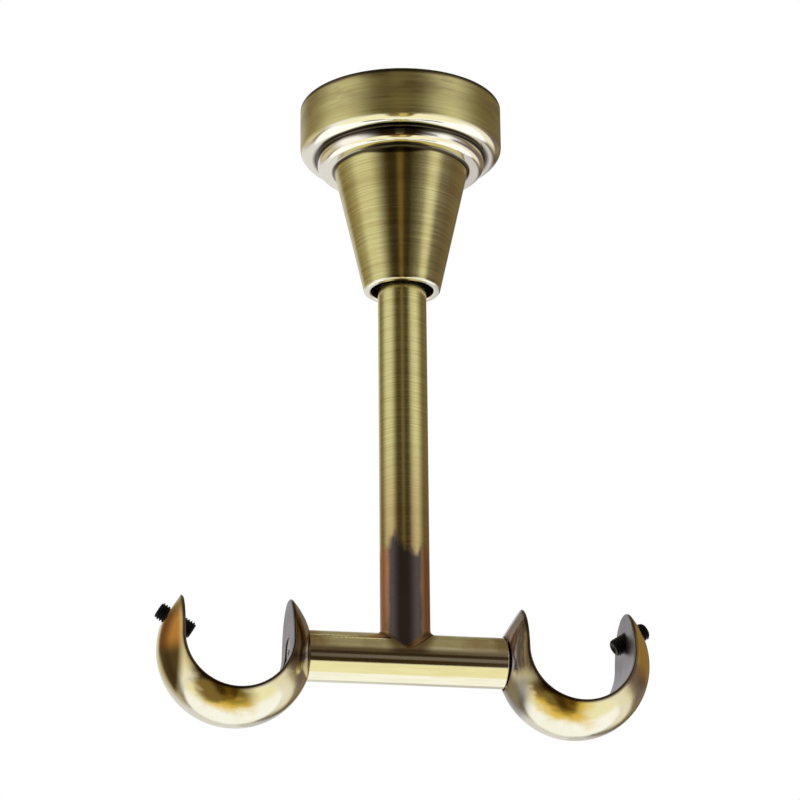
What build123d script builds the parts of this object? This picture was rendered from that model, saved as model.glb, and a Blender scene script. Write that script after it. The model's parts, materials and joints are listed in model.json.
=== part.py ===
from build123d import *
import math
import os

# Double ceiling bracket for two curtain poles, in millimetres.
# The origin is the centre of the ceiling face, Z points up, the crossbar lies along X
# and the poles lie along Y.

# Layout
bar_drop = 166.0  # ceiling to the crossbar's axis
pole_spacing = 95.0  # centre to centre of the two poles
seat_rise = 2.3  # pole centre above the crossbar's axis

# Base cover: a cast cup that runs down into a long cone
base_radius = 29.2
rim_height = 15.8
rim_round = 3.3
ceiling_edge_round = 0.8
step_radius = 24.2
step_height = 19.8
step_round = 2.2
cone_top_radius = 19.36
cone_tip_radius = 10.9
cone_tip_height = 57.2
cone_root_round = 1.0
cone_tip_round = 0.6
core_round = 1.0
cover_wall = 3.2
web_height = 40.0  # ceiling to the face that the stem butts against
web_thickness = 4.0
stem_socket_radius = 9.0

# Ceiling plate that the cover hides
plate_clearance = 0.2
plate_thickness = 6.0
plate_groove_depth = 1.0
plate_groove_half_width = 1.2
fixing_hole_radius = 2.5
fixing_countersink_radius = 5.0
fixing_circle_radius = 16.0

# Tubes
stem_radius = 6.95
bar_radius = 7.1
tube_wall = 1.6
bar_half_length = 28.7
bar_end_chamfer = 1.1
joint_fillet = 1.2

# Pole cradles: a ring with a round section, cut by a slot with a round floor
seat_radius = 14.7
ring_radius = 21.4
ring_drop = 1.7  # ring axis below the pole centre, so the floor is the thickest part
section_radius = 14.0
slot_edge_round = 0.5
horn_flat_depth = 0.9
spot_face_radius = 7.6

# Pole clamp screws: M5 set screws through the outer horns
clamp_tilt = 32.0  # degrees above level
clamp_reach = 16.36  # screw middle, out from the pole centre
clamp_rise = 6.09  # screw middle, above the pole centre
clamp_screw_radius = 2.5
clamp_screw_length = 11.0
clamp_clearance = 0.05
clamp_socket_width = 2.5
clamp_socket_depth = 2.5
clamp_cup_radius = 1.3
clamp_cup_depth = 0.8

# Screws that hold the pieces together
screw_gap = 0.1  # radial, between a screw and its hole
thread_chamfer = 0.6
stem_screw_radius = 3.0
stem_screw_length = 20.0
stem_screw_head_radius = 5.0
stem_screw_head_height = 6.0
stem_screw_socket_width = 5.0
stem_screw_socket_depth = 3.0
washer_radius = 6.0
washer_thickness = 1.6
stem_plug_length = 22.0
cradle_screw_radius = 2.5
cradle_screw_length = 16.0
cradle_screw_head_radius = 4.6
cradle_screw_recess = 0.3  # head below the flat wall of the slot
cradle_screw_socket_width = 3.0
cradle_screw_socket_depth = 1.8
bar_plug_length = 18.0
grub_screw_radius = 2.0
grub_screw_recess = 0.4
grub_screw_socket_width = 2.0
grub_screw_socket_depth = 1.6
hex_sides = 6
edge_break = 0.4  # small rounding or chamfer on a turned edge

# Places worked out from the driving dimensions
bar_z = -bar_drop
pole_x = pole_spacing / 2
seat_z = bar_z + seat_rise
ring_z = seat_z - ring_drop
plate_radius = base_radius - cover_wall - plate_clearance
groove_z = -plate_thickness / 2
clamp_plane = Plane(
    origin=(pole_x + clamp_reach, 0, seat_z + clamp_rise),
    x_dir=(0, 1, 0),
    z_dir=(math.cos(math.radians(clamp_tilt)), 0, math.sin(math.radians(clamp_tilt))),
)
slot_wall_x = pole_x - seat_radius
cradle_screw_plane = Plane(
    origin=(slot_wall_x - cradle_screw_recess, 0, bar_z), x_dir=(0, 1, 0), z_dir=(1, 0, 0)
)
head_cone_height = cradle_screw_head_radius - cradle_screw_radius

os.makedirs("parts", exist_ok=True)


def write(builder, label):
    """Name a finished piece and write it as one STEP file."""
    builder.part.label = label
    export_step(builder.part, f"parts/{label}.step")


# Ceiling plate: a disc with two countersunk holes and a groove round its rim
with BuildPart() as ceiling_plate:
    with BuildSketch(Plane.XY):
        Circle(plate_radius)
    extrude(amount=-plate_thickness)
    chamfer(ceiling_plate.edges().filter_by(GeomType.CIRCLE), edge_break)
    with BuildSketch(Plane.XZ):
        with BuildLine():
            Polyline(
                (plate_radius, groove_z + plate_groove_half_width),
                (plate_radius - plate_groove_depth, groove_z),
                (plate_radius, groove_z - plate_groove_half_width),
                close=True,
            )
        make_face()
    revolve(axis=Axis.Z, mode=Mode.SUBTRACT)
    with Locations(Plane.XY.offset(-plate_thickness).rotated((180, 0, 0))):
        with PolarLocations(fixing_circle_radius, 2):
            CounterSinkHole(fixing_hole_radius, fixing_countersink_radius, counter_sink_angle=90)
write(ceiling_plate, "ceiling_plate")

# Base cover: one turned section, hollow above a web that carries the stem
cavity_radius = base_radius - cover_wall
cavity_floor = cover_wall - rim_height
step_floor = cover_wall - step_height
web_top = web_thickness - web_height
cone_slope = (cone_top_radius - cone_tip_radius) / (cone_tip_height - step_height)
core_top_radius = cone_top_radius - cover_wall
core_tip_radius = core_top_radius - cone_slope * (step_floor - web_top)
with BuildPart() as base_cover:
    with BuildSketch(Plane.XZ):
        with BuildLine():
            FilletPolyline(
                (cavity_radius, 0),
                (base_radius, 0),
                (base_radius, -rim_height),
                (step_radius, -rim_height),
                (step_radius, -step_height),
                (cone_top_radius, -step_height),
                (cone_tip_radius, -cone_tip_height),
                (stem_socket_radius, -cone_tip_height),
                (stem_socket_radius, -web_height),
                (stem_screw_radius + screw_gap, -web_height),
                (stem_screw_radius + screw_gap, web_top),
                (core_tip_radius, web_top),
                (core_top_radius, step_floor),
                (step_radius - cover_wall, step_floor),
                (step_radius - cover_wall, cavity_floor),
                (cavity_radius, cavity_floor),
                radius=(
                    [0, ceiling_edge_round, rim_round, edge_break, step_round]
                    + [cone_root_round, cone_tip_round, edge_break]
                    + 3 * [0]
                    + 5 * [core_round]
                ),
                close=True,
            )
        make_face()
    revolve(axis=Axis.Z)
    with BuildSketch(Plane.XZ.offset(-base_radius)):
        with Locations((0, groove_z)):
            Circle(grub_screw_radius + screw_gap)
    extrude(amount=2 * cover_wall, mode=Mode.SUBTRACT)
write(base_cover, "base_cover")

# Grub screw at the back of the cover: its point sits in the plate's groove
grub_tip_y = plate_radius - plate_groove_depth + screw_gap
grub_head_y = base_radius - grub_screw_recess
with BuildPart() as cover_grub_screw:
    with BuildSketch(Plane.XY.offset(groove_z)):
        with BuildLine():
            Polyline(
                (0, grub_tip_y),
                (grub_screw_radius, grub_tip_y + grub_screw_radius),
                (grub_screw_radius, grub_head_y),
                (0, grub_head_y),
                close=True,
            )
        make_face()
    revolve(axis=Axis((0, 0, groove_z), (0, 1, 0)))
    with BuildSketch(Plane.XZ.offset(-grub_head_y)):
        with Locations((0, groove_z)):
            RegularPolygon(grub_screw_socket_width / 2, hex_sides, major_radius=False)
    extrude(amount=grub_screw_socket_depth, mode=Mode.SUBTRACT)
write(cover_grub_screw, "cover_grub_screw")

# Stem: a tube with a coped foot that sits on the crossbar in a brazed fillet
with BuildPart() as stem:
    with BuildSketch(Plane.XY.offset(-web_height)):
        Circle(stem_radius)
    extrude(amount=bar_z + web_height)
    with BuildSketch(Plane.YZ.offset(-bar_half_length)):
        with Locations((0, bar_z)):
            Circle(bar_radius)
    extrude(amount=2 * bar_half_length)
    saddle = stem.edges().filter_by(GeomType.CIRCLE, reverse=True).filter_by(GeomType.LINE, reverse=True)
    fillet(saddle, joint_fillet)
    with BuildSketch(Plane.YZ.offset(-bar_half_length)):
        with Locations((0, bar_z)):
            Circle(bar_radius)
    extrude(amount=2 * bar_half_length, mode=Mode.SUBTRACT)
    with BuildSketch(Plane.XY.offset(-web_height)):
        Circle(stem_radius - tube_wall)
    extrude(amount=bar_z + web_height, mode=Mode.SUBTRACT)
write(stem, "stem")

# Threaded plug in the top of the stem, with its screw and washer
with BuildPart() as stem_plug:
    with BuildSketch(Plane.XY.offset(-web_height)):
        Circle(stem_radius - tube_wall)
        Circle(stem_screw_radius + screw_gap, mode=Mode.SUBTRACT)
    extrude(amount=-stem_plug_length)
write(stem_plug, "stem_plug")

with BuildPart() as stem_washer:
    with BuildSketch(Plane.XY.offset(web_top)):
        Circle(washer_radius)
        Circle(stem_screw_radius + screw_gap, mode=Mode.SUBTRACT)
    extrude(amount=washer_thickness)
write(stem_washer, "stem_washer")

head_seat_z = web_top + washer_thickness
with BuildPart() as stem_screw:
    with BuildSketch(Plane.XY.offset(head_seat_z)):
        Circle(stem_screw_head_radius)
    extrude(amount=stem_screw_head_height)
    chamfer(stem_screw.edges().group_by(Axis.Z)[-1], edge_break)
    with BuildSketch(Plane.XY.offset(head_seat_z)):
        Circle(stem_screw_radius)
    extrude(amount=-stem_screw_length)
    chamfer(stem_screw.edges().group_by(Axis.Z)[0], thread_chamfer)
    with BuildSketch(Plane.XY.offset(head_seat_z + stem_screw_head_height)):
        RegularPolygon(stem_screw_socket_width / 2, hex_sides, major_radius=False)
    extrude(amount=-stem_screw_socket_depth, mode=Mode.SUBTRACT)
write(stem_screw, "stem_screw")

# Crossbar: a tube with square, slightly chamfered ends
with BuildPart() as crossbar:
    with BuildSketch(Plane.YZ.offset(-bar_half_length)):
        with Locations((0, bar_z)):
            Circle(bar_radius)
    extrude(amount=2 * bar_half_length)
    chamfer(crossbar.edges().filter_by(GeomType.CIRCLE), bar_end_chamfer)
    with BuildSketch(Plane.YZ.offset(-bar_half_length)):
        with Locations((0, bar_z)):
            Circle(bar_radius - tube_wall)
    extrude(amount=2 * bar_half_length, mode=Mode.SUBTRACT)
write(crossbar, "crossbar")

# Threaded plug in the right end of the crossbar
with BuildPart() as bar_plug_right:
    with BuildSketch(Plane.YZ.offset(bar_half_length)):
        with Locations((0, bar_z)):
            Circle(bar_radius - tube_wall)
            Circle(cradle_screw_radius + screw_gap, mode=Mode.SUBTRACT)
    extrude(amount=-bar_plug_length)
write(bar_plug_right, "bar_plug_right")

# Right cradle: the ring, the slot, the seat for the bar's end, a flat on each horn, the screw holes
with BuildPart() as cradle_right:
    with BuildSketch(Plane((pole_x, 0, ring_z))):
        with Locations((ring_radius - section_radius, 0)):
            Circle(section_radius)
        Rectangle(ring_radius, 2 * section_radius, align=(Align.MIN, Align.CENTER), mode=Mode.INTERSECT)
    revolve(axis=Axis((pole_x, 0, ring_z), (0, 1, 0)))
    with BuildSketch(Plane.XZ):
        with Locations((pole_x, seat_z)):
            Circle(seat_radius)
            Rectangle(2 * seat_radius, 2 * ring_radius, align=(Align.CENTER, Align.MIN))
    extrude(amount=ring_radius, both=True, mode=Mode.SUBTRACT)
    slot_rim = cradle_right.edges(Select.LAST).filter_by(GeomType.LINE, reverse=True)
    fillet(slot_rim, slot_edge_round)
    with BuildSketch(Plane.YZ.offset(bar_half_length)):
        with Locations((0, bar_z)):
            Circle(spot_face_radius)
    extrude(amount=-bar_half_length, mode=Mode.SUBTRACT)
    for side in (1, -1):
        flat_normal = Vector(side * clamp_plane.z_dir.X, 0, clamp_plane.z_dir.Z)
        flat_middle = Vector(pole_x, 0, ring_z) + flat_normal * (ring_radius - horn_flat_depth)
        split(bisect_by=Plane(flat_middle, z_dir=flat_normal), keep=Keep.BOTTOM)
    with BuildSketch(clamp_plane):
        Circle(clamp_screw_radius + clamp_clearance)
    extrude(amount=clamp_screw_length, both=True, mode=Mode.SUBTRACT)
    with Locations(cradle_screw_plane):
        CounterSinkHole(
            cradle_screw_radius + screw_gap,
            cradle_screw_head_radius + screw_gap,
            depth=cradle_screw_length / 2,
            counter_sink_angle=90,
        )
write(cradle_right, "cradle_right")

# Countersunk screw that holds the right cradle on the bar
with BuildPart() as cradle_screw_right:
    with BuildSketch(cradle_screw_plane.offset(-head_cone_height)):
        Circle(cradle_screw_radius)
    with BuildSketch(cradle_screw_plane):
        Circle(cradle_screw_head_radius)
    loft()
    with BuildSketch(cradle_screw_plane.offset(-head_cone_height)):
        Circle(cradle_screw_radius)
    extrude(amount=head_cone_height - cradle_screw_length)
    with BuildSketch(cradle_screw_plane):
        RegularPolygon(cradle_screw_socket_width / 2, hex_sides, major_radius=False)
    extrude(amount=-cradle_screw_socket_depth, mode=Mode.SUBTRACT)
write(cradle_screw_right, "cradle_screw_right")

# Pole clamp screw in the right cradle: hexagon socket outside, cup point inside
half_screw = clamp_screw_length / 2
with BuildPart() as pole_clamp_screw_right:
    with BuildSketch(clamp_plane.offset(-half_screw)):
        Circle(clamp_screw_radius)
    extrude(amount=clamp_screw_length)
    chamfer(pole_clamp_screw_right.edges().filter_by(GeomType.CIRCLE), thread_chamfer)
    with BuildSketch(clamp_plane.offset(half_screw)):
        RegularPolygon(clamp_socket_width / 2, hex_sides, major_radius=False)
    extrude(amount=-clamp_socket_depth, mode=Mode.SUBTRACT)
    with Locations(clamp_plane.offset(-half_screw)):
        Cone(
            clamp_cup_radius,
            0,
            clamp_cup_depth,
            align=(Align.CENTER, Align.CENTER, Align.MIN),
            mode=Mode.SUBTRACT,
        )
write(pole_clamp_screw_right, "pole_clamp_screw_right")

# The left side is the right side mirrored
right_pieces = {
    "bar_plug_left": bar_plug_right,
    "cradle_left": cradle_right,
    "cradle_screw_left": cradle_screw_right,
    "pole_clamp_screw_left": pole_clamp_screw_right,
}
for label, right_piece in right_pieces.items():
    with BuildPart() as left_piece:
        mirror(right_piece.part, about=Plane.YZ)
    write(left_piece, label)
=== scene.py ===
import json
import math
from types import SimpleNamespace

import bpy
from mathutils import Matrix, Vector


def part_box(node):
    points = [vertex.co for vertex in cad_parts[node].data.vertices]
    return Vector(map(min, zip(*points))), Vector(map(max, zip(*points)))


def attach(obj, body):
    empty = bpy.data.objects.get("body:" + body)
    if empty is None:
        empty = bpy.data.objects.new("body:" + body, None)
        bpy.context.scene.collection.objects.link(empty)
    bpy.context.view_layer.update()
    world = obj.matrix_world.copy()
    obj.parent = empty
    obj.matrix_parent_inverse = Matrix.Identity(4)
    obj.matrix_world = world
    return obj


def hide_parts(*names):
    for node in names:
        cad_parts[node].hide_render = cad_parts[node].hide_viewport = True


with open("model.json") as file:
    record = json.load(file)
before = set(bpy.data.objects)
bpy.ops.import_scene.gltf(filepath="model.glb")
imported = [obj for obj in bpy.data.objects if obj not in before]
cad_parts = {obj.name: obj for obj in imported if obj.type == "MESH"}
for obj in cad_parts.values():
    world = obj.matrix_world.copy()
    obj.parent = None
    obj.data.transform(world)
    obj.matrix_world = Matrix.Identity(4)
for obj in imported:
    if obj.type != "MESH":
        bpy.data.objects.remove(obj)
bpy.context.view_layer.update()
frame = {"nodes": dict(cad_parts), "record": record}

# Camera, fitted to the photograph: below the bracket, a little to its left
CAMERA_YAW = math.radians(10.89)
CAMERA_PITCH = math.radians(19.64)
CAMERA_ROLL = math.radians(-0.55)
CAMERA_DISTANCE = 0.913
CAMERA_TARGET = Vector((0.0, 0.0, -0.0913))
IMAGE_SIZE = 800
FOCAL_PIXELS = 3224.5
PRINCIPAL_POINT = (403.1, 404.2)
SENSOR_WIDTH = 36.0

# Floor, far enough below the bracket to leave room for a look from underneath
FLOOR_Z = -1.05
FLOOR_SIZE = 8.0
FLOOR_COLOUR = (0.90, 0.89, 0.87)
FLOOR_CLOUDS = (3, 3, 3)
FLOOR_ROUGHNESS = 0.9

# Studio
BACKGROUND = (1.0, 1.0, 1.0)
ROOM_COLOUR = (0.09, 0.06, 0.025)
EVERYWHERE = (-400, -390, 390, 400)
# What the metal mirrors, each laid over the one before: where it starts, is full, is full to and
# ends, in azimuth then in elevation, in degrees from the bracket with 0 at the camera and
# positive to its right, and its colour
STUDIO_BANDS = {
    "ceiling": (EVERYWHERE, (22, 45, 390, 400), (0.30, 0.26, 0.15)),
    "left_wall": ((-165, -140, -115, -95), (-45, -30, 60, 80), (0.30, 0.24, 0.14)),
    "right_wall": ((75, 100, 150, 165), (-45, -30, 60, 80), (0.24, 0.185, 0.105)),
    "left_softbox": ((-120, -80, -62, -24), (-45, -28, 36, 56), (1.02, 1.02, 1.0)),
    "right_softbox": ((20, 48, 62, 106), (-45, -28, 36, 56), (1.06, 1.06, 1.06)),
    "left_screen": ((-150, -126, -112, -84), (-30, -20, 4, 12), (0.62, 0.55, 0.35)),
    "right_screen": ((64, 82, 130, 150), (-14, -9, 4, 12), (0.17, 0.13, 0.15)),
    "right_low_box": ((46, 62, 140, 165), (-37, -31, -22, -13), (0.90, 0.86, 0.70)),
    "left_backdrop": ((-400, -390, -150, -130), (-70, -60, 35, 50), (0.76, 0.75, 0.74)),
    "right_backdrop": ((160, 174, 390, 400), (-70, -60, 35, 50), (0.62, 0.61, 0.60)),
    "table": (EVERYWHERE, (-400, -390, -36, -31), (1.10, 1.12, 1.12)),
    "table_front": ((-105, -80, 80, 105), (-400, -390, -36, -31), (0.98, 0.94, 0.62)),
    "stand_foot": ((-26, -12, 16, 22), (-82, -52, -34, -28), (0.24, 0.16, 0.045)),
    "stand_stripe": ((-4, 1, 7, 12), (-80, -56, -34, -28), (0.58, 0.45, 0.15)),
    "stand": ((-31, -17, 21, 35), (-38, -30, 6, 20), (0.038, 0.022, 0.007)),
    "stand_line": ((-9, -3, 1, 6), (-24, -16, 0, 6), (0.30, 0.20, 0.06)),
    "table_edge": ((18, 21, 40, 60), (-17, -12, -3, 3), (0.17, 0.145, 0.12)),
    "shelf_line": ((14, 18, 42, 58), (1, 5, 10, 16), (0.035, 0.02, 0.008)),
    "slit": ((-10, -5, 3, 8), (4, 10, 35, 60), (0.24, 0.20, 0.13)),
}

# Places on the bracket, in metres as all that follows
mounts = {mount["name"]: mount["pos_m"] for mount in frame["record"]["mounts"]}
POLE_X, _, POLE_Z = mounts["pole_seat_right"]
SEAT_RADIUS = 0.0147
RING_DROP = 0.0017
RING_Z = POLE_Z - RING_DROP
HORN_FLAT = 0.0205
bar_low, bar_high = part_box("crossbar")
BAR_Z = (bar_low.z + bar_high.z) / 2
STEM_TOE = bar_high.z

# Pole clamp screws: M5 thread
SCREW_TILT = math.radians(32.0)
SCREW_RADIUS = 0.0025
SCREW_CORE = 0.00202
SCREW_LENGTH = 0.011
SCREW_CHAMFER = 0.0006
SCREW_FACETS = 64
PITCH = 0.0008
TURN_STEPS = 40
TOOTH_RADIUS = PITCH / math.sqrt(3)
TOOTH_CREST = 0.00259
SOCKET_WIDTH = 0.0025
SOCKET_DEPTH = 0.0025
CUP_RADIUS = 0.0013
CUP_DEPTH = 0.0008
CUP_FACETS = 48
OVERSHOOT = 0.0001
SMOOTH_ANGLE = math.radians(20)

# Plating. The polished colours are paler than the brass: painted highlight that whitens their reflections
BRASS = (0.63, 0.58, 0.26)
BRASS_DEEP = (0.44, 0.35, 0.14)
POLISHED_WITH_PAINTED_HIGHLIGHT = (0.86, 0.82, 0.64)
POLISHED_DEEP_WITH_PAINTED_HIGHLIGHT = (0.70, 0.60, 0.34)
BRIGHT = (0.93, 0.90, 0.80)
CAST_BRIGHT = (0.88, 0.85, 0.72)
GOLDEN_BRASS = (0.76, 0.63, 0.27)

# Stains and bare metal, and the colours of painted reflection, highlight and shade
NEAR_BLACK = (0.045, 0.032, 0.02)
UMBER = (0.26, 0.185, 0.10)
HEATED = (0.40, 0.27, 0.12)
BURNT = (0.10, 0.083, 0.080)
COPPER = (0.46, 0.235, 0.105)
BROWN = (0.16, 0.085, 0.035)
RUSSET = (0.42, 0.29, 0.15)
OLIVE = (0.075, 0.045, 0.012)
ORANGE = (0.42, 0.18, 0.03)
AMBER_GOLD = (0.98, 0.65, 0.17)
TAN = (0.24, 0.165, 0.075)
DARK_TAN = (0.06, 0.038, 0.022)
GOLD = (0.70, 0.46, 0.06)
AMBER = (0.17, 0.105, 0.020)
SEAT_GREY = (0.27, 0.265, 0.30)
TIP_GREY = (0.16, 0.15, 0.155)
FLAT_GREY = (0.56, 0.55, 0.62)

# Noise, in cycles a metre along X, Y and Z
NOISE_DETAIL = 4.0
NOISE_ROUGHNESS = 0.6
NOISE_MIDDLE = 0.5
SLOW_STREAKS = (18, 18, 300)
COVER_LINES = (45, 45, 2400)
COVER_CLOUDS = (60, 60, 220)
STEM_LINES = (45, 45, 2600)
STEM_BLOTCHES = (160, 160, 60)
BAR_GRAIN = (60, 900, 900)
BAR_MOTTLE = (110, 110, 110)
CAST_MOTTLE = (150, 150, 150)
HORN_STREAKS = (700, 700, 60)
FLOOR_SWIRL = (90, 260, 260)
FLOOR_SWIRL_DETAIL = 2.0
STEEL_GRAIN = (900, 900, 900)

# From noise to a look: the levels between which it changes, and what it is at each
LINE_SHARE = (0.32, 0.60, 0.35, 1.0)
STREAK_LEVELS = (0.45, 0.70)
CLOUD_SHARE = (0.40, 0.62, 0.1, 0.6)
GRAIN_SHARE = (0.35, 0.65, 0.7, 1.0)
TONE_SHARE = (0.42, 0.66, 0.0, 0.5)
CAST_SHARE = (0.35, 0.65, 0.75, 1.0)
HORN_STREAK_LEVELS = (0.40, 0.60)
COVER_ROUGHNESS = (0.25, 0.75, 0.16, 0.25)
STEM_ROUGHNESS = (0.25, 0.75, 0.17, 0.27)
BAR_ROUGHNESS = (0.3, 0.7, 0.05, 0.09)
CAST_ROUGHNESS = (0.3, 0.7, 0.11, 0.19)
STEEL_LEVELS = (0.3, 0.7)
RING_ROUGHNESS = 0.06
WALL_ROUGHER = 0.18
BURN_ROUGHER = 0.2
BARE_ROUGHER = 0.22
COVER_STREAK_DEPTH = 0.55
STEM_STREAK_DEPTH = 0.2

# Relief, softened edges and brushing
COVER_RELIEF = 0.00002
STEM_RELIEF = 0.000015
BAR_RELIEF = 0.000006
CAST_RELIEF = 0.00008
STEEL_RELIEF = 0.000004
SOFT_EDGE = 0.0003
BAR_EDGE = 0.0004
STEEL_EDGE = 0.0002
EDGE_SAMPLES = 6
COVER_BRUSHING = 0.7
STEM_BRUSHING = 0.6
QUARTER_TURN = 0.25

# The front with the painted shade in the cup's grooves faces a little to the left, towards the camera:
# shares of X and Y in the distance across it
ACROSS_X = 0.98
ACROSS_Y = -0.19

# Cup and cone: where each finish starts and ends
RINGS_Z = (-0.0202, -0.0198, -0.0145, -0.0135)
RINGS_FROM_RADIUS = (0.0193, 0.0196)
CONE_TIP_Z = (-0.0568, -0.0566)
WALL_Z = (-0.02, -0.015)
WALL_CLOUDS_Z = (-0.0135, -0.004)
TOP_EDGE_Z = (-0.0019, -0.0009)
BLACK_SHARE = 0.95
# Grooves, black with patina and widened at the front by painted shade: radius and height, reach of the
# black, and how far its wider stretch of painted shade goes
GROOVES = (
    ((0.0242, -0.0158), (0.00057, 0.0019), (0.0034, 0.01615)),
    ((0.01936, -0.0200), (0.0003, 0.0010), (0.0022, 0.01045)),
)
# Middle of the painted shade at the front, and how much it widens the black
GROOVE_SHIFT = 0.001
GROOVE_SHADE_WIDER = 0.0012

# Stem: warm stretch, burnt foot, painted coppery highlight at the foot's sides and brazed fillet
WARM_Z = (-0.125, -0.085)
WARM_SHARE = 0.6
WARM_RAGGED = 0.02
BURN_Z = (-0.1375, -0.1325)
BURN_RAGGED = 0.022
COPPER_X = (0.0047, 0.0058)
COPPER_SHIFT = 0.0010
COPPER_RAGGED = 0.0015
FILLET_X = (0.0056, 0.0070)
FILLET_Z = (STEM_TOE - 0.0008, STEM_TOE + 0.0004)
FILLET_SLOPE = 1.2

# Crossbar: brazed joint, and mottled painted shade on the upper half, stronger at the ends
JOINT_RADIUS = (0.0074, 0.0100)
JOINT_Z = (BAR_Z - 0.001, BAR_Z + 0.001)
JOINT_SHARE = 0.85
BAR_UPPER_Z = (BAR_Z, BAR_Z + 0.002)
BAR_ENDS_X = (0.0225, 0.0272)
BAR_ENDS_SHARE = 0.9
BAR_TOP_SHADE_MOST = 0.85

# Cradles: out from the pole's centre and away from the bar, above that centre, or along Y
SIDE_X = (-0.001, 0.001)
GOLDEN_ABOVE = (-0.0160, -0.0070)
GOLDEN_SHARE = 0.85
OUTER_OUT = (0.0146, 0.0170)
OUTER_Y = (-0.0044, -0.0022)
OUTER_LOW_END = (-0.0185, -0.014)
OUTER_TOP_END = (0.005, 0.011)
OUTER_BRIGHT = (-0.0060, -0.0005)
RIGHT_LOW_END_HIGHER = 0.0075
RIGHT_BRIGHT_LOWER = 0.0050
INNER_OUT = (-0.0130, -0.0100)
INNER_ABOVE = (-0.010, -0.005, 0.011, 0.014)
INNER_SHARE = 0.95
INNER_GREY_Y = (-0.0094, -0.0074, 0.0020, 0.0060)
# Painted shade in grey low on the right cradle's side, under the bar
LOW_SIDE_OUT = (-0.0165, -0.0130)
LOW_SIDE_ABOVE = (-0.0215, -0.0175, -0.0100, -0.0060)
LOW_SIDE_SHARE = 0.75
# Painted reflection of gold on the slot's floor, shaded amber towards the slot
PATCH_ABOVE = (-0.011, -0.008)
PATCH_Y = (-0.0096, -0.0058)
PATCH_X = (-0.0145, -0.0095, 0.0010, 0.0065)
PATCH_SHARE = 0.97
PATCH_RAGGED_X = 0.008
PATCH_RAGGED_Y = 0.006
PATCH_LEAN = 0.7
PATCH_LEAN_FROM_Y = -0.0110
PATCH_RIGHT_SHIFT = 0.0035
AMBER_Y = (-0.0155, -0.0125)
AMBER_RAGGED = 0.008
AMBER_SLANT = 0.17
AMBER_RIGHT_SHIFT = 0.0012
SLOT_EDGE = (SEAT_RADIUS, SEAT_RADIUS + 0.0001, SEAT_RADIUS + 0.0006, SEAT_RADIUS + 0.0014)
SLOT_EDGE_SHARE = 0.92
TIP_ABOVE = (0.0095, 0.0125)
TIP_SHARE = 0.9
BAR_SEAT_RADIUS = (0.0072, 0.0090)
BAR_SEAT_OUT = (-0.017, -0.015)
BAR_SEAT_SHARE = 0.8
FLAT_FROM = (HORN_FLAT - 0.00012, HORN_FLAT - 0.00004)
FLAT_SHARE = 0.8
SEAT_TO = (SEAT_RADIUS + 0.00008, SEAT_RADIUS + 0.00025)

# Steel: light and dark of the grain, and the roughness of each
BLACK_STEEL = ((0.05, 0.05, 0.05), (0.01, 0.01, 0.01), (0.3, 0.5))
ZINC_PLATED = ((0.62, 0.61, 0.58), (0.42, 0.42, 0.41), (0.3, 0.45))


def add_node(tree, kind, inputs=None, **settings):
    """New shader node with its settings, and its inputs linked or set."""
    node = tree.nodes.new(kind)
    for name, value in settings.items():
        setattr(node, name, value)
    for key, value in (inputs or {}).items():
        socket = node.inputs[key]
        if isinstance(value, bpy.types.NodeSocket):
            tree.links.new(value, socket)
        elif socket.type == "RGBA":
            socket.default_value = (*value, 1.0)
        else:
            socket.default_value = value
    return node


def calc(tree, operation, *values):
    """Output of a Math node on sockets and numbers."""
    return add_node(tree, "ShaderNodeMath", dict(enumerate(values)), operation=operation).outputs[0]


def add(tree, first, second):
    """Sum of two values."""
    return calc(tree, "ADD", first, second)


def minus(tree, first, second):
    """First value less the second."""
    return calc(tree, "SUBTRACT", first, second)


def times(tree, first, second):
    """Product of two values."""
    return calc(tree, "MULTIPLY", first, second)


def size_of(tree, value):
    """Value without its sign."""
    return calc(tree, "ABSOLUTE", value)


def larger(tree, first, second):
    """Larger of two values."""
    return calc(tree, "MAXIMUM", first, second)


def smaller(tree, first, second):
    """Smaller of two values."""
    return calc(tree, "MINIMUM", first, second)


def step(tree, value, start, end, low=0.0, high=1.0):
    """Smooth step from low at start to high at end."""
    inputs = {"Value": value, "From Min": start, "From Max": end, "To Min": low, "To Max": high}
    return add_node(tree, "ShaderNodeMapRange", inputs, interpolation_type="SMOOTHSTEP").outputs[0]


def fade(tree, value, start, end, share=1.0):
    """Share up to start, and smoothly down to 0 at end."""
    return step(tree, value, start, end, share, 0.0)


def window(tree, value, start, full_from, full_to, end):
    """0 at start, 1 from full_from to full_to and 0 again at end."""
    return times(tree, step(tree, value, start, full_from), fade(tree, value, full_to, end))


def length(tree, *values):
    """Length of a vector from its parts."""
    total = 0.0
    for value in values:
        total = add(tree, times(tree, value, value), total)
    return calc(tree, "SQRT", total)


def across_front(tree, x, y):
    """Distance to the right across the front that faces the camera."""
    return add(tree, times(tree, x, ACROSS_X), times(tree, y, ACROSS_Y))


def mix(tree, factor, first, second, kind="FLOAT"):
    """Number, or value of another kind, that goes from first to second with the factor."""
    inputs = {"Factor": factor, "A": first, "B": second}
    return add_node(tree, "ShaderNodeMix", inputs, data_type=kind).outputs["Result"]


def mix_colour(tree, factor, first, second):
    """Colour that goes from first to second with the factor."""
    return mix(tree, factor, first, second, "RGBA")


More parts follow.
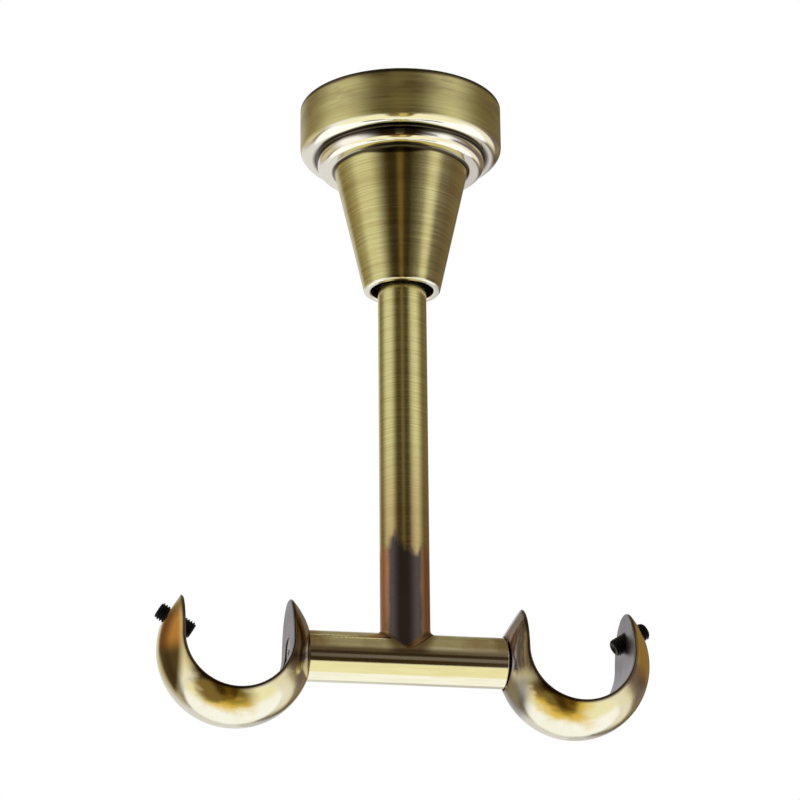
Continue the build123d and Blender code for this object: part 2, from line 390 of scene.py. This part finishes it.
def make_camera():
    """Camera at the photograph's viewing angle."""
    data = bpy.data.cameras.new("photo_camera")
    data.sensor_width = SENSOR_WIDTH
    data.lens = SENSOR_WIDTH * FOCAL_PIXELS / IMAGE_SIZE
    data.shift_x = (IMAGE_SIZE / 2 - PRINCIPAL_POINT[0]) / IMAGE_SIZE
    data.shift_y = (PRINCIPAL_POINT[1] - IMAGE_SIZE / 2) / IMAGE_SIZE
    forward = Vector((
        math.sin(CAMERA_YAW) * math.cos(CAMERA_PITCH),
        math.cos(CAMERA_YAW) * math.cos(CAMERA_PITCH),
        math.sin(CAMERA_PITCH),
    ))
    right = Vector((math.cos(CAMERA_YAW), -math.sin(CAMERA_YAW), 0.0))
    up = right.cross(forward)
    rolled_right = math.cos(CAMERA_ROLL) * right + math.sin(CAMERA_ROLL) * up
    rolled_up = math.cos(CAMERA_ROLL) * up - math.sin(CAMERA_ROLL) * right
    turn = Matrix((rolled_right, rolled_up, -forward)).transposed().to_4x4()
    camera = bpy.data.objects.new("photo_camera", data)
    camera.matrix_world = Matrix.Translation(CAMERA_TARGET - CAMERA_DISTANCE * forward) @ turn
    bpy.context.scene.collection.objects.link(camera)
    bpy.context.scene.camera = camera


def make_studio_light():
    """White to the camera, even to matt surfaces, and softboxes in a dim room to the metal."""
    world = bpy.data.worlds.new("studio")
    bpy.context.scene.world = world
    world.use_nodes = True
    tree = world.node_tree
    tree.nodes.clear()
    view = add_node(tree, "ShaderNodeTexCoord").outputs["Generated"]
    turned = add_node(tree, "ShaderNodeMapping", {"Vector": view, "Rotation": (0, 0, CAMERA_YAW)})
    parts = add_node(tree, "ShaderNodeSeparateXYZ", {0: turned.outputs[0]}).outputs
    front = times(tree, parts["Y"], -1.0)
    azimuth = calc(tree, "DEGREES", calc(tree, "ARCTAN2", parts["X"], front))
    elevation = calc(tree, "DEGREES", calc(tree, "ARCSINE", parts["Z"]))
    mirrored = ROOM_COLOUR
    for across, upwards, colour in STUDIO_BANDS.values():
        share = times(tree, window(tree, azimuth, *across), window(tree, elevation, *upwards))
        mirrored = mix_colour(tree, share, mirrored, colour)
    ray = add_node(tree, "ShaderNodeLightPath").outputs
    metal_sees = larger(tree, ray["Is Glossy Ray"], ray["Is Transmission Ray"])
    shown = mix_colour(tree, metal_sees, BACKGROUND, mirrored)
    light = add_node(tree, "ShaderNodeBackground", {"Color": shown, "Strength": 1.0})
    add_node(tree, "ShaderNodeOutputWorld", {"Surface": light.outputs[0]})


def make_floor():
    """Pale floor below the camera. The metal mirrors the studio's own table in its place."""
    bpy.ops.mesh.primitive_plane_add(size=FLOOR_SIZE, location=(0, 0, FLOOR_Z))
    floor = bpy.context.object
    floor.name = "floor"
    floor.visible_glossy = False
    material, tree, shader = new_material("pale_floor")
    pale = mix_colour(tree, noise(tree, FLOOR_CLOUDS), FLOOR_COLOUR, BACKGROUND)
    tree.links.new(pale, shader.inputs["Base Color"])
    shader.inputs["Roughness"].default_value = FLOOR_ROUGHNESS
    shader.inputs["Specular IOR Level"].default_value = 0.0
    floor.data.materials.append(material)


def new_material(name):
    """Node material and its Principled shader."""
    material = bpy.data.materials.new(name)
    material.use_nodes = True
    return material, material.node_tree, material.node_tree.nodes["Principled BSDF"]


def place(tree):
    """X, Y and Z in the piece's own coordinates, in metres."""
    point = add_node(tree, "ShaderNodeTexCoord").outputs["Object"]
    return add_node(tree, "ShaderNodeSeparateXYZ", {0: point}).outputs


def noise(tree, scale, detail=NOISE_DETAIL):
    """Noise in the piece's own coordinates, with a scale for each axis in cycles a metre."""
    point = add_node(tree, "ShaderNodeTexCoord").outputs["Object"]
    stretched = add_node(tree, "ShaderNodeMapping", {"Vector": point, "Scale": scale}).outputs[0]
    inputs = {"Vector": stretched, "Scale": 1.0, "Detail": detail, "Roughness": NOISE_ROUGHNESS}
    return add_node(tree, "ShaderNodeTexNoise", inputs).outputs["Fac"]


def finish_metal(tree, shader, colour, roughness, height, relief, edge_radius):
    """Metal with a colour, a roughness, a fine relief and softly lit edges."""
    edges = add_node(tree, "ShaderNodeBevel", {"Radius": edge_radius}, samples=EDGE_SAMPLES)
    inputs = {"Height": height, "Strength": 1.0, "Distance": relief, "Normal": edges.outputs[0]}
    bump = add_node(tree, "ShaderNodeBump", inputs)
    tree.links.new(colour, shader.inputs["Base Color"])
    tree.links.new(roughness, shader.inputs["Roughness"])
    tree.links.new(bump.outputs[0], shader.inputs["Normal"])
    shader.inputs["Metallic"].default_value = 1.0


def brush_round(tree, shader, amount):
    """Stretch the highlights across brush lines that run round the upright axis."""
    tangent = add_node(tree, "ShaderNodeTangent", direction_type="RADIAL", axis="Z")
    tree.links.new(tangent.outputs[0], shader.inputs["Tangent"])
    shader.inputs["Anisotropic"].default_value = amount
    shader.inputs["Anisotropic Rotation"].default_value = QUARTER_TURN


def brushed_colour(tree, fine, streak_depth):
    """Antique brass with faint darker lines and slow streaks."""
    lines = mix_colour(tree, step(tree, fine, *LINE_SHARE), BRASS_DEEP, BRASS)
    streaks = step(tree, noise(tree, SLOW_STREAKS), *STREAK_LEVELS, 0.0, streak_depth)
    return mix_colour(tree, streaks, lines, BRASS_DEEP)


def darken_grooves_and_paint_front_shade(tree, colour, radius, z, across):
    """Black patina in the grooves under the cup, widened at the front by painted shade."""
    off_middle = size_of(tree, add(tree, across, GROOVE_SHIFT))
    for (groove_radius, groove_z), reach, wider_to in GROOVES:
        off = length(tree, minus(tree, radius, groove_radius), minus(tree, z, groove_z))
        off = minus(tree, off, fade(tree, off_middle, *wider_to, GROOVE_SHADE_WIDER))
        colour = mix_colour(tree, fade(tree, off, *reach, BLACK_SHARE), colour, NEAR_BLACK)
    return colour


def cover_brass():
    """Cup wall and cone brushed round the axis, with the rings under the cup and the cone's tip polished
    and painted paler as highlight.
    """
    material, tree, shader = new_material("cover_brass")
    x, y, z = place(tree)
    radius = length(tree, x, y)
    fine = noise(tree, COVER_LINES)
    colour = brushed_colour(tree, fine, COVER_STREAK_DEPTH)
    # Rings under the cup and the cone's tip: polished, and painted paler as highlight
    rings = times(tree, window(tree, z, *RINGS_Z), step(tree, radius, *RINGS_FROM_RADIUS))
    polished_and_painted_pale = larger(tree, rings, fade(tree, z, *CONE_TIP_Z))
    colour = mix_colour(tree, polished_and_painted_pale, colour, BRIGHT)
    # Black patina in the grooves, widened at the front by painted shade
    colour = darken_grooves_and_paint_front_shade(tree, colour, radius, z, across_front(tree, x, y))
    clouds = step(tree, noise(tree, COVER_CLOUDS), *CLOUD_SHARE)
    colour = mix_colour(tree, times(tree, clouds, step(tree, z, *WALL_CLOUDS_Z)), colour, UMBER)
    colour = mix_colour(tree, step(tree, z, *TOP_EDGE_Z, 0.0, BLACK_SHARE), colour, NEAR_BLACK)
    rougher_wall = step(tree, z, *WALL_Z, 0.0, WALL_ROUGHER)
    brushed = add(tree, step(tree, fine, *COVER_ROUGHNESS), rougher_wall)
    rough = mix(tree, polished_and_painted_pale, brushed, RING_ROUGHNESS)
    height = times(tree, fine, minus(tree, 1.0, polished_and_painted_pale))
    finish_metal(tree, shader, colour, rough, height, COVER_RELIEF, SOFT_EDGE)
    brush_round(tree, shader, COVER_BRUSHING)
    return material


def stem_brass():
    """Brushed tube with a foot burnt dark by the brazing, and a painted coppery highlight at the foot's
    sides.
    """
    material, tree, shader = new_material("stem_brass")
    x, y, z = place(tree)
    fine = noise(tree, STEM_LINES)
    blotch = noise(tree, STEM_BLOTCHES)
    colour = brushed_colour(tree, fine, STEM_STREAK_DEPTH)
    warm_edge = add(tree, z, times(tree, blotch, WARM_RAGGED))
    colour = mix_colour(tree, fade(tree, warm_edge, *WARM_Z, WARM_SHARE), colour, HEATED)
    # Painted highlight: coppery at the sides of the burnt foot
    off_middle = size_of(tree, add(tree, x, COPPER_SHIFT))
    side = add(tree, off_middle, times(tree, blotch, COPPER_RAGGED))
    scorch_and_side_highlight = mix_colour(tree, step(tree, side, *COPPER_X), BURNT, COPPER)
    under_toe = times(tree, minus(tree, STEM_TOE, z), FILLET_SLOPE)
    beside_toe = add(tree, size_of(tree, across_front(tree, x, y)), under_toe)
    fillet = times(tree, step(tree, beside_toe, *FILLET_X), fade(tree, z, *FILLET_Z))
    scorch_and_side_highlight = mix_colour(tree, fillet, scorch_and_side_highlight, BROWN)
    burn_edge = add(tree, z, times(tree, minus(tree, NOISE_MIDDLE, blotch), BURN_RAGGED))
    burn = fade(tree, burn_edge, *BURN_Z)
    colour = mix_colour(tree, burn, colour, scorch_and_side_highlight)
    rough = add(tree, step(tree, fine, *STEM_ROUGHNESS), times(tree, burn, BURN_ROUGHER))
    finish_metal(tree, shader, colour, rough, fine, STEM_RELIEF, SOFT_EDGE)
    brush_round(tree, shader, STEM_BRUSHING)
    return material


def bar_brass():
    """Polished tube with faint lines along it, browned at the stem, with mottled painted shade on its
    upper half, stronger at its ends.
    """
    material, tree, shader = new_material("bar_brass")
    x, y, z = place(tree)
    grain = noise(tree, BAR_GRAIN)
    mottle = noise(tree, BAR_MOTTLE)
    # Pale polished brass, its paleness painted highlight
    colour = mix_colour(tree, step(tree, grain, *GRAIN_SHARE), POLISHED_DEEP_WITH_PAINTED_HIGHLIGHT, POLISHED_WITH_PAINTED_HIGHLIGHT)
    by_stem = fade(tree, length(tree, x, y), *JOINT_RADIUS, JOINT_SHARE)
    colour = mix_colour(tree, times(tree, by_stem, step(tree, z, *JOINT_Z)), colour, BROWN)
    ends = step(tree, size_of(tree, x), *BAR_ENDS_X, 0.0, BAR_ENDS_SHARE)
    # Painted shade in russet, mottled, over the upper half and stronger at the ends
    top_shade = times(tree, add(tree, ends, step(tree, mottle, *TONE_SHARE)), step(tree, z, *BAR_UPPER_Z))
    colour = mix_colour(tree, smaller(tree, top_shade, BAR_TOP_SHADE_MOST), colour, RUSSET)
    finish_metal(tree, shader, colour, step(tree, mottle, *BAR_ROUGHNESS), grain, BAR_RELIEF, BAR_EDGE)
    return material


def cradle_places(tree):
    """Where a point is on its cradle, and the casting's mottle there."""
    x, y, z = place(tree)
    out = minus(tree, size_of(tree, x), POLE_X)
    above_pole = minus(tree, z, POLE_Z)
    return SimpleNamespace(
        x=x,
        y=y,
        z=z,
        out=out,
        above_pole=above_pole,
        from_slot=length(tree, out, smaller(tree, above_pole, 0.0)),
        on_right=step(tree, x, *SIDE_X),
        mottle=noise(tree, CAST_MOTTLE),
    )


def colour_outer_horn_front(tree, at, colour):
    """Dark olive on the front of the outer horn, turning orange on the left one and gold on the right."""
    higher = add(tree, at.above_pole, times(tree, at.on_right, RIGHT_BRIGHT_LOWER))
    bright = mix_colour(tree, at.on_right, ORANGE, AMBER_GOLD)
    mark = mix_colour(tree, step(tree, higher, *OUTER_BRIGHT), OLIVE, bright)
    lower = minus(tree, at.above_pole, times(tree, at.on_right, RIGHT_LOW_END_HIGHER))
    upright = times(tree, step(tree, lower, *OUTER_LOW_END), fade(tree, at.above_pole, *OUTER_TOP_END))
    front = times(tree, step(tree, at.out, *OUTER_OUT), fade(tree, at.y, *OUTER_Y))
    return mix_colour(tree, times(tree, upright, front), colour, mark)


def tarnish_inner_horn_and_shade_low_side(tree, at, colour):
    """Streaky tan on the horn by the bar and grey along its back, and painted shade in grey low on the
    right cradle's side, under the bar.
    """
    streaks = step(tree, noise(tree, HORN_STREAKS), *HORN_STREAK_LEVELS)
    tarnish = mix_colour(tree, streaks, DARK_TAN, TAN)
    tarnish = mix_colour(tree, window(tree, at.y, *INNER_GREY_Y), tarnish, FLAT_GREY)
    horn = times(
        tree, window(tree, at.above_pole, *INNER_ABOVE), fade(tree, at.out, *INNER_OUT, INNER_SHARE)
    )
    colour = mix_colour(tree, horn, colour, tarnish)
    # Painted shade: grey low on the right cradle's side, under the bar
    low = times(tree, window(tree, at.above_pole, *LOW_SIDE_ABOVE), at.on_right)
    low_side_shade = times(tree, low, fade(tree, at.out, *LOW_SIDE_OUT, LOW_SIDE_SHARE))
    return mix_colour(tree, low_side_shade, colour, TIP_GREY)


def paint_floor_reflection(tree, at, colour):
    """Painted reflection: a ragged patch of gold in front of the slot's floor, shaded amber towards the
    slot.
    """
    swirl = noise(tree, FLOOR_SWIRL, FLOOR_SWIRL_DETAIL)
    beside = minus(tree, at.x, times(tree, calc(tree, "SIGN", at.x), POLE_X))
    beside = add(tree, beside, times(tree, at.on_right, PATCH_RIGHT_SHIFT))
    beside = minus(tree, beside, times(tree, minus(tree, at.y, PATCH_LEAN_FROM_Y), PATCH_LEAN))
    beside = add(tree, beside, times(tree, minus(tree, swirl, NOISE_MIDDLE), PATCH_RAGGED_X))
    to_front = add(tree, at.y, times(tree, minus(tree, at.mottle, NOISE_MIDDLE), PATCH_RAGGED_Y))
    to_slot = minus(tree, at.y, times(tree, swirl, AMBER_RAGGED))
    to_slot = add(tree, to_slot, times(tree, at.on_right, AMBER_RIGHT_SHIFT))
    to_slot = add(tree, to_slot, times(tree, beside, AMBER_SLANT))
    reflected_gold = mix_colour(tree, step(tree, to_slot, *AMBER_Y), AMBER, GOLD)
    low = fade(tree, at.above_pole, *PATCH_ABOVE)
    patch = times(tree, low, fade(tree, to_front, *PATCH_Y, PATCH_SHARE))
    patch = times(tree, patch, window(tree, beside, *PATCH_X))
    return mix_colour(tree, patch, colour, reflected_gold)


def darken_edges(tree, at, colour):
    """Dark line along the slot, grey tips and a brown ring round the bar's end."""
    slot_edge = times(tree, window(tree, at.from_slot, *SLOT_EDGE), SLOT_EDGE_SHARE)
    colour = mix_colour(tree, slot_edge, colour, DARK_TAN)
    colour = mix_colour(tree, step(tree, at.above_pole, *TIP_ABOVE, 0.0, TIP_SHARE), colour, TIP_GREY)
    from_bar = length(tree, at.y, minus(tree, at.z, BAR_Z))
    by_bar = times(
        tree, fade(tree, from_bar, *BAR_SEAT_RADIUS, BAR_SEAT_SHARE), fade(tree, at.out, *BAR_SEAT_OUT)
    )
    return mix_colour(tree, by_bar, colour, BROWN)


def horn_flats(tree, at):
    """Share of the flats on the horns."""
    sideways = times(tree, size_of(tree, at.out), math.cos(SCREW_TILT))
    upwards = times(tree, minus(tree, at.z, RING_Z), math.sin(SCREW_TILT))
    return step(tree, add(tree, sideways, upwards), *FLAT_FROM, 0.0, FLAT_SHARE)


def cradle_brass():
    """Polished casting with marks on its horns, painted highlight in its pale underside, a painted gold
    reflection on its floor, painted shade low on the right cradle's side, and bare grey flats and seat.
    """
    material, tree, shader = new_material("cradle_brass")
    at = cradle_places(tree)
    # Pale mottle of the casting, its paleness painted highlight
    colour = mix_colour(tree, step(tree, at.mottle, *CAST_SHARE), POLISHED_DEEP_WITH_PAINTED_HIGHLIGHT, CAST_BRIGHT)
    # Golden above, leaving the pale underside as painted highlight where it mirrors the white table
    colour = mix_colour(tree, step(tree, at.above_pole, *GOLDEN_ABOVE, 0.0, GOLDEN_SHARE), colour, GOLDEN_BRASS)
    # Marks on the horns and edges, painted shade low on the right cradle's side and a painted gold
    # reflection on the floor
    for mark in (colour_outer_horn_front, tarnish_inner_horn_and_shade_low_side, paint_floor_reflection, darken_edges):
        colour = mark(tree, at, colour)
    flats = horn_flats(tree, at)
    seat = fade(tree, at.from_slot, *SEAT_TO)
    colour = mix_colour(tree, flats, colour, FLAT_GREY)
    colour = mix_colour(tree, seat, colour, SEAT_GREY)
    bare = times(tree, larger(tree, seat, flats), BARE_ROUGHER)
    rough = add(tree, step(tree, at.mottle, *CAST_ROUGHNESS), bare)
    finish_metal(tree, shader, colour, rough, at.mottle, CAST_RELIEF, SOFT_EDGE)
    return material


def dull_steel(name, light, dark, roughness):
    """Plated or blackened steel with a fine grain."""
    material, tree, shader = new_material(name)
    grain = noise(tree, STEEL_GRAIN)
    colour = mix_colour(tree, grain, dark, light)
    rough = step(tree, grain, *STEEL_LEVELS, *roughness)
    finish_metal(tree, shader, colour, rough, grain, STEEL_RELIEF, STEEL_EDGE)
    return material


def use_only(piece):
    """Make a piece the active and only selected object."""
    bpy.ops.object.select_all(action="DESELECT")
    piece.select_set(True)
    bpy.context.view_layer.objects.active = piece


def combine(piece, tool, operation):
    """Boolean of a piece with a tool, which is then removed."""
    modifier = piece.modifiers.new(operation, "BOOLEAN")
    modifier.operation = operation
    modifier.object = tool
    modifier.solver = "EXACT"
    use_only(piece)
    bpy.ops.object.modifier_apply(modifier=modifier.name)
    bpy.data.objects.remove(tool)


def thread_ridge():
    """Closed ridge of a right-hand thread about Z, longer than the screw at both ends."""
    bpy.ops.mesh.primitive_circle_add(
        vertices=3,
        radius=TOOTH_RADIUS,
        location=(TOOTH_CREST - TOOTH_RADIUS, 0, -SCREW_LENGTH / 2 - PITCH),
        rotation=(math.pi / 2, math.pi / 2, 0),
    )
    ridge = bpy.context.object
    bpy.ops.object.transform_apply(location=True, rotation=True, scale=True)
    coil = ridge.modifiers.new("coil", "SCREW")
    coil.axis = "Z"
    coil.screw_offset = PITCH
    coil.iterations = math.ceil(SCREW_LENGTH / PITCH) + 2
    coil.steps = TURN_STEPS
    coil.render_steps = TURN_STEPS
    use_only(ridge)
    bpy.ops.object.modifier_apply(modifier=coil.name)
    bpy.ops.object.mode_set(mode="EDIT")
    bpy.ops.mesh.select_all(action="SELECT")
    bpy.ops.mesh.fill_holes(sides=0)
    bpy.ops.mesh.normals_make_consistent(inside=False)
    bpy.ops.object.mode_set(mode="OBJECT")
    return ridge


def screw_blank():
    """Plain cylinder of the screw's outside, with a chamfer at both ends."""
    bpy.ops.mesh.primitive_cylinder_add(
        vertices=SCREW_FACETS, radius=SCREW_RADIUS, depth=SCREW_LENGTH
    )
    blank = bpy.context.object
    ends = blank.modifiers.new("ends", "BEVEL")
    ends.width = SCREW_CHAMFER
    ends.segments = 1
    use_only(blank)
    bpy.ops.object.modifier_apply(modifier=ends.name)
    return blank


def make_clamp_screw(side, outward, material):
    """Threaded set screw in place of its plain solid: hexagon socket outside, cup point inside."""
    half = SCREW_LENGTH / 2
    bpy.ops.mesh.primitive_cylinder_add(
        vertices=SCREW_FACETS, radius=SCREW_CORE, depth=SCREW_LENGTH + PITCH
    )
    screw = bpy.context.object
    screw.name = f"threaded_clamp_screw_{side}"
    combine(screw, thread_ridge(), "UNION")
    combine(screw, screw_blank(), "INTERSECT")
    bpy.ops.mesh.primitive_cylinder_add(
        vertices=6, radius=SOCKET_WIDTH / math.sqrt(3), depth=2 * SOCKET_DEPTH, location=(0, 0, half)
    )
    combine(screw, bpy.context.object, "DIFFERENCE")
    cup_depth = CUP_DEPTH + OVERSHOOT
    bpy.ops.mesh.primitive_cone_add(
        vertices=CUP_FACETS,
        radius1=CUP_RADIUS * cup_depth / CUP_DEPTH,
        depth=cup_depth,
        location=(0, 0, cup_depth / 2 - half - OVERSHOOT),
    )
    combine(screw, bpy.context.object, "DIFFERENCE")
    screw.rotation_euler = (0, outward * (math.pi / 2 - SCREW_TILT), 0)
    low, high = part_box(f"pole_clamp_screw_{side}")
    screw.location = (low + high) / 2
    use_only(screw)
    bpy.ops.object.transform_apply(location=True, rotation=True, scale=True)
    bpy.ops.object.shade_smooth_by_angle(angle=SMOOTH_ANGLE)
    screw.data.materials.append(material)
    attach(screw, f"clamp_screw_{side}")
    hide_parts(f"pole_clamp_screw_{side}")


def paint(node, material):
    """Give a CAD node one material."""
    mesh = frame["nodes"][node].data
    mesh.materials.clear()
    mesh.materials.append(material)


make_camera()
make_studio_light()
make_floor()

paint("base_cover", cover_brass())
paint("stem", stem_brass())
paint("crossbar", bar_brass())
cradle_plating = cradle_brass()
screw_black = dull_steel("black_screw", *BLACK_STEEL)
plated = dull_steel("zinc_plating", *ZINC_PLATED)
for side, outward in (("left", -1), ("right", 1)):
    paint(f"cradle_{side}", cradle_plating)
    make_clamp_screw(side, outward, screw_black)
    paint(f"cradle_screw_{side}", plated)
    paint(f"bar_plug_{side}", plated)
for hidden in ("ceiling_plate", "cover_grub_screw", "stem_plug", "stem_washer", "stem_screw"):
    paint(hidden, plated)

bpy.context.scene.view_settings.view_transform = "Standard"
